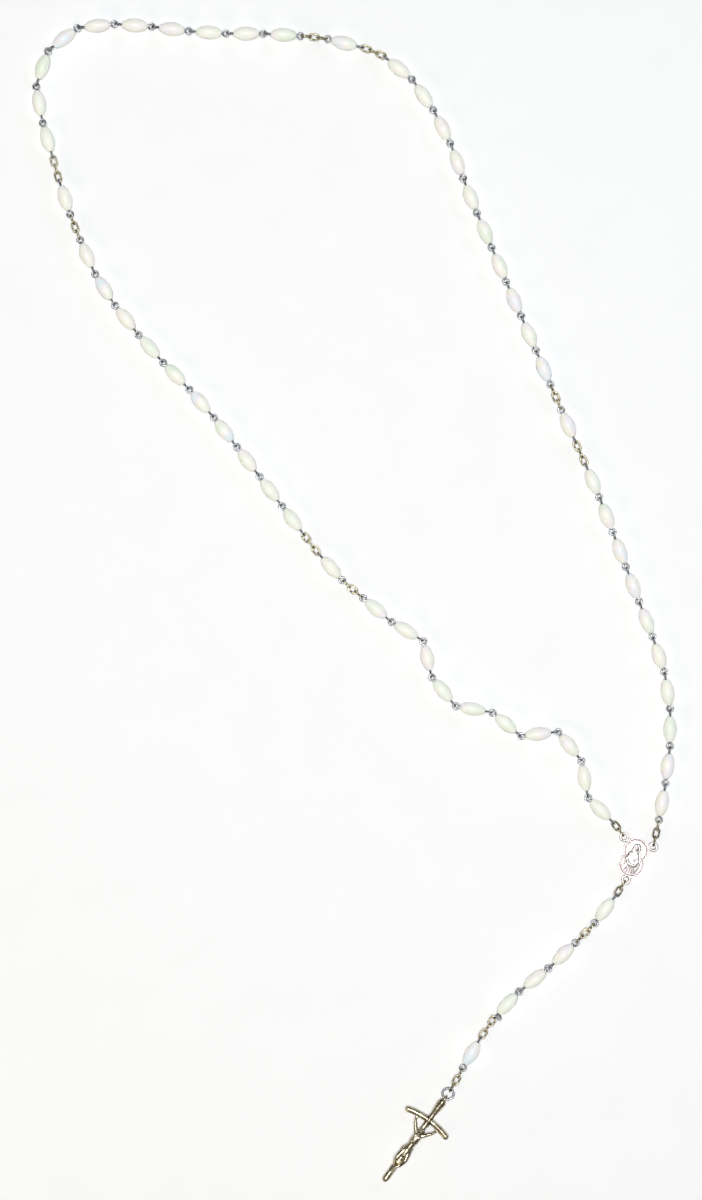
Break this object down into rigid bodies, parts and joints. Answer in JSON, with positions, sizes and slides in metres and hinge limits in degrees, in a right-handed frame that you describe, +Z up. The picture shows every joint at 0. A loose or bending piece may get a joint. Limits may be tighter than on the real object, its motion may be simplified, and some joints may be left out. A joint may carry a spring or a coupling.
{
  "type": "rosary",
  "caption": "Rosary of oval pearl-white beads on silver wire eye pins, with oval chain links, a cast centrepiece, a short pendant, a jump ring and a crucifix with a hanging figure.",
  "frame": {"origin": "middle of the centrepiece's flat back, on the plane the rosary lies on", "axes": "+Z up from the surface towards the faces of the centrepiece and crucifix, +Y along the long side of the layout towards the top of the loop, +X to the right"},
  "size_m": [0.2024, 0.3656, 0.0042],
  "materials": {
    "pearl": "pearlescent white moulded beads",
    "pin_wire": "bright silver-plated wire",
    "link_wire": "silver-plated links with a slight warm tone",
    "medal_silver": "bright cast silver plate",
    "antique_silver": "dark antique silver casting with worn warm highlights"
  },
  "bodies": {
    "centrepiece": {"centrepiece": "medal_silver", "left_link": "link_wire", "right_links": "link_wire"},
    "decade_1_low": {"decade_1_low_beads": "pearl", "decade_1_low_wires": "pin_wire"},
    "decade_1_high": {"decade_1_high_beads": "pearl", "decade_1_high_wires": "pin_wire"},
    "decade_2_first": {"decade_2_first_beads": "pearl", "decade_2_first_wires": "pin_wire"},
    "decade_2_second": {"decade_2_second_beads": "pearl", "decade_2_second_wires": "pin_wire"},
    "decade_2_third": {"decade_2_third_beads": "pearl", "decade_2_third_wires": "pin_wire"},
    "decade_2_last": {"decade_2_last_beads": "pearl", "decade_2_last_wires": "pin_wire"},
    "second_gap_link": {"second_gap_link": "link_wire"},
    "second_father": {"second_father_beads": "pearl", "second_father_wires": "pin_wire"},
    "decade_3": {"decade_3_beads": "pearl", "decade_3_wires": "pin_wire"},
    "third_father": {"third_father_beads": "pearl", "third_father_wires": "pin_wire"},
    "decade_4_first": {"decade_4_first_beads": "pearl", "decade_4_first_wires": "pin_wire"},
    "decade_4_second": {"decade_4_second_beads": "pearl", "decade_4_second_wires": "pin_wire"},
    "decade_4_third": {"decade_4_third_beads": "pearl", "decade_4_third_wires": "pin_wire"},
    "decade_4_last": {"decade_4_last_beads": "pearl", "decade_4_last_wires": "pin_wire"},
    "fourth_gap_link": {"fourth_gap_link": "link_wire"},
    "decade_5_high": {"decade_5_high_beads": "pearl", "decade_5_high_wires": "pin_wire"},
    "decade_5_low": {"decade_5_low_beads": "pearl", "decade_5_low_wires": "pin_wire"},
    "pendant_link_1": {"pendant_link_1": "link_wire"},
    "pendant_link_2": {"pendant_link_2": "link_wire"},
    "first_father": {"first_father_pin": "pin_wire"},
    "first_father_bead": {"first_father_bead": "pearl"},
    "pendant_link_3": {"pendant_link_3": "link_wire"},
    "pendant_link_4": {"pendant_link_4": "link_wire"},
    "pendant_link_5": {"pendant_link_5": "link_wire"},
    "hail_mary_1": {"hail_mary_1_pin": "pin_wire"},
    "hail_mary_1_bead": {"hail_mary_1_bead": "pearl"},
    "hail_mary_2": {"hail_mary_2_pin": "pin_wire"},
    "hail_mary_2_bead": {"hail_mary_2_bead": "pearl"},
    "hail_mary_3": {"hail_mary_3_pin": "pin_wire"},
    "hail_mary_3_bead": {"hail_mary_3_bead": "pearl"},
    "pendant_link_6": {"pendant_link_6": "link_wire"},
    "pendant_link_7": {"pendant_link_7": "link_wire"},
    "pendant_link_8": {"pendant_link_8": "link_wire"},
    "last_father": {"last_father_pin": "pin_wire"},
    "last_father_bead": {"last_father_bead": "pearl"},
    "pendant_link_9": {"pendant_link_9": "link_wire"},
    "pendant_link_10": {"pendant_link_10": "link_wire"},
    "pendant_link_11": {"pendant_link_11": "link_wire"},
    "jump_ring": {"jump_ring": "link_wire"},
    "crucifix": {"crucifix": "antique_silver", "corpus": "antique_silver"}
  },
  "joints": [
    {"name": "low_fold_left", "type": "hinge", "parent": "centrepiece", "child": "decade_1_low", "pos_m": [-0.00454, 0.0087, 0.00162], "axis": [0.9827, 0.1812, 0.038], "range_deg": [0, 60]},
    {"name": "low_fold_right", "type": "hinge", "parent": "centrepiece", "child": "decade_5_low", "pos_m": [0.00776, 0.01097, 0.0021], "axis": [0.9827, 0.1812, 0.038], "range_deg": [0, 60]},
    {"name": "middle_fold_left", "type": "hinge", "parent": "decade_1_low", "child": "decade_1_high", "pos_m": [-0.06391, 0.0572, 0.0021], "axis": [0.8801, 0.4747, 0], "range_deg": [0, 60]},
    {"name": "middle_fold_right", "type": "hinge", "parent": "decade_5_low", "child": "decade_5_high", "pos_m": [-0.00216, 0.0905, 0.0021], "axis": [0.8801, 0.4747, 0], "range_deg": [0, 60]},
    {"name": "high_fold_left", "type": "hinge", "parent": "decade_1_high", "child": "decade_2_first", "pos_m": [-0.10191, 0.09918, 0.0021], "axis": [0.8534, 0.5213, 0], "range_deg": [0, 60]},
    {"name": "high_fold_right", "type": "hinge", "parent": "decade_5_high", "child": "fourth_gap_link", "pos_m": [-0.02513, 0.14609, 0.0021], "axis": [0.8534, 0.5213, 0], "range_deg": [0, 60]},
    {"name": "side_sway", "type": "hinge", "parent": "decade_2_first", "child": "decade_2_second", "pos_m": [-0.11766, 0.11982, 0.0021], "axis": [0, 0, 1], "range_deg": [-25, 25]},
    {"name": "side_sway_back", "type": "hinge", "parent": "decade_2_second", "child": "decade_2_third", "pos_m": [-0.14792, 0.15555, 0.0021], "axis": [0, 0, 1], "range_deg": [-25, 25]},
    {"name": "top_sway", "type": "hinge", "parent": "decade_2_third", "child": "decade_2_last", "pos_m": [-0.16301, 0.17348, 0.0021], "axis": [0, 0, 1], "range_deg": [-25, 25]},
    {"name": "top_sway_back", "type": "hinge", "parent": "decade_2_last", "child": "second_gap_link", "pos_m": [-0.17582, 0.19881, 0.0021], "axis": [0, 0, 1], "range_deg": [-25, 25]},
    {"name": "top_sway_father", "type": "hinge", "parent": "second_gap_link", "child": "second_father", "pos_m": [-0.17695, 0.20181, 0.0021], "axis": [0, 0, 1], "range_deg": [-25, 25]},
    {"name": "top_sway_father_back", "type": "hinge", "parent": "second_father", "child": "decade_3", "pos_m": [-0.1824, 0.21959, 0.0021], "axis": [0, 0, 1], "range_deg": [-25, 25]},
    {"name": "side_sway_last", "type": "hinge", "parent": "fourth_gap_link", "child": "decade_4_last", "pos_m": [-0.02612, 0.1484, 0.0021], "axis": [0, 0, 1], "range_deg": [-25, 25]},
    {"name": "side_sway_last_back", "type": "hinge", "parent": "decade_4_last", "child": "decade_4_third", "pos_m": [-0.04001, 0.1807, 0.0021], "axis": [0, 0, 1], "range_deg": [-25, 25]},
    {"name": "top_sway_fourth", "type": "hinge", "parent": "decade_4_third", "child": "decade_4_second", "pos_m": [-0.04462, 0.19148, 0.0021], "axis": [0, 0, 1], "range_deg": [-25, 25]},
    {"name": "top_sway_fourth_back", "type": "hinge", "parent": "decade_4_second", "child": "decade_4_first", "pos_m": [-0.06287, 0.23461, 0.0021], "axis": [0, 0, 1], "range_deg": [-25, 25]},
    {"name": "side_sway_third_father", "type": "hinge", "parent": "decade_4_first", "child": "third_father", "pos_m": [-0.08494, 0.25431, 0.0021], "axis": [0, 0, 1], "range_deg": [-25, 25]},
    {"name": "pendant_link_1_swing", "type": "hinge", "parent": "centrepiece", "child": "pendant_link_1", "pos_m": [-0.00258, -0.00731, 0.00115], "axis": [0, 0, 1], "range_deg": [-45, 45]},
    {"name": "pendant_link_2_lift", "type": "hinge", "parent": "pendant_link_1", "child": "pendant_link_2", "pos_m": [-0.00398, -0.00936, 0.00162], "axis": [-0.8303, 0.5573, 0], "range_deg": [0, 30]},
    {"name": "first_father_swing", "type": "hinge", "parent": "pendant_link_2", "child": "first_father", "pos_m": [-0.00534, -0.01142, 0.0021], "axis": [0, 0, -1], "range_deg": [-40, 40]},
    {"name": "first_father_spin", "type": "hinge", "parent": "first_father", "child": "first_father_bead", "pos_m": [-0.00908, -0.01637, 0.0021], "axis": [-0.6032, -0.7976, 0], "continuous": true},
    {"name": "pendant_link_3_swing", "type": "hinge", "parent": "first_father", "child": "pendant_link_3", "pos_m": [-0.01241, -0.02077, 0.0021], "axis": [0, 0, 1], "range_deg": [-40, 40]},
    {"name": "pendant_link_4_lift", "type": "hinge", "parent": "pendant_link_3", "child": "pendant_link_4", "pos_m": [-0.01415, -0.0226, 0.0021], "axis": [-0.7183, 0.6957, 0], "range_deg": [0, 30]},
    {"name": "pendant_link_5_swing", "type": "hinge", "parent": "pendant_link_4", "child": "pendant_link_5", "pos_m": [-0.01592, -0.02439, 0.0021], "axis": [0, 0, -1], "range_deg": [-45, 45]},
    {"name": "hail_mary_1_swing", "type": "hinge", "parent": "pendant_link_5", "child": "hail_mary_1", "pos_m": [-0.01815, -0.02669, 0.0021], "axis": [0, 0, 1], "range_deg": [-40, 40]},
    {"name": "hail_mary_1_spin", "type": "hinge", "parent": "hail_mary_1", "child": "hail_mary_1_bead", "pos_m": [-0.02217, -0.03047, 0.0021], "axis": [-0.7286, -0.6849, 0], "continuous": true},
    {"name": "hail_mary_2_swing", "type": "hinge", "parent": "hail_mary_1", "child": "hail_mary_2", "pos_m": [-0.02668, -0.03472, 0.0021], "axis": [0, 0, -1], "range_deg": [-40, 40]},
    {"name": "hail_mary_2_spin", "type": "hinge", "parent": "hail_mary_2", "child": "hail_mary_2_bead", "pos_m": [-0.03101, -0.03815, 0.0021], "axis": [-0.7833, -0.6216, 0], "continuous": true},
    {"name": "hail_mary_3_lift", "type": "hinge", "parent": "hail_mary_2", "child": "hail_mary_3", "pos_m": [-0.0354, -0.04151, 0.0021], "axis": [-0.674, 0.7388, 0], "range_deg": [0, 30]},
    {"name": "hail_mary_3_spin", "type": "hinge", "parent": "hail_mary_3", "child": "hail_mary_3_bead", "pos_m": [-0.03968, -0.04599, 0.0021], "axis": [-0.6907, -0.7231, 0], "continuous": true},
    {"name": "pendant_link_6_swing", "type": "hinge", "parent": "hail_mary_3", "child": "pendant_link_6", "pos_m": [-0.04396, -0.05048, 0.0021], "axis": [0, 0, 1], "range_deg": [-45, 45]},
    {"name": "pendant_link_7_swing", "type": "hinge", "parent": "pendant_link_6", "child": "pendant_link_7", "pos_m": [-0.04498, -0.05201, 0.0021], "axis": [0, 0, -1], "range_deg": [-45, 45]},
    {"name": "pendant_link_8_lift", "type": "hinge", "parent": "pendant_link_7", "child": "pendant_link_8", "pos_m": [-0.04641, -0.05408, 0.0021], "axis": [-0.8225, 0.5687, 0], "range_deg": [0, 25]},
    {"name": "last_father_swing", "type": "hinge", "parent": "pendant_link_8", "child": "last_father", "pos_m": [-0.04785, -0.05615, 0.0021], "axis": [0, 0, 1], "range_deg": [-40, 40]},
    {"name": "last_father_spin", "type": "hinge", "parent": "last_father", "child": "last_father_bead", "pos_m": [-0.05099, -0.0615, 0.0021], "axis": [-0.5069, -0.862, 0], "continuous": true},
    {"name": "pendant_link_9_swing", "type": "hinge", "parent": "last_father", "child": "pendant_link_9", "pos_m": [-0.05379, -0.06625, 0.0021], "axis": [0, 0, -1], "range_deg": [-40, 40]},
    {"name": "pendant_link_10_lift", "type": "hinge", "parent": "pendant_link_9", "child": "pendant_link_10", "pos_m": [-0.05494, -0.0685, 0.0021], "axis": [-0.88, 0.475, 0], "range_deg": [0, 25]},
    {"name": "pendant_link_11_swing", "type": "hinge", "parent": "pendant_link_10", "child": "pendant_link_11", "pos_m": [-0.05618, -0.07069, 0.0021], "axis": [0, 0, 1], "range_deg": [-45, 45]},
    {"name": "jump_ring_swing", "type": "hinge", "parent": "pendant_link_11", "child": "jump_ring", "pos_m": [-0.05782, -0.07342, 0.00173], "axis": [0, 0, -1], "range_deg": [-45, 45]},
    {"name": "crucifix_lift", "type": "hinge", "parent": "jump_ring", "child": "crucifix", "pos_m": [-0.05925, -0.07576, 0.0014], "axis": [-0.853, 0.5219, 0], "range_deg": [0, 40]}
  ],
  "couplings": [
    {"joint": "low_fold_right", "follows": "low_fold_left", "ratio": 1},
    {"joint": "middle_fold_right", "follows": "middle_fold_left", "ratio": 1},
    {"joint": "high_fold_right", "follows": "high_fold_left", "ratio": 1},
    {"joint": "side_sway_back", "follows": "side_sway", "ratio": -1},
    {"joint": "top_sway_back", "follows": "top_sway", "ratio": -1},
    {"joint": "top_sway_father", "follows": "top_sway", "ratio": 1},
    {"joint": "top_sway_father_back", "follows": "top_sway", "ratio": -1},
    {"joint": "side_sway_last", "follows": "side_sway", "ratio": 1},
    {"joint": "side_sway_last_back", "follows": "side_sway", "ratio": -1},
    {"joint": "top_sway_fourth", "follows": "top_sway", "ratio": 1},
    {"joint": "top_sway_fourth_back", "follows": "top_sway", "ratio": -1},
    {"joint": "side_sway_third_father", "follows": "side_sway", "ratio": 1}
  ]
}
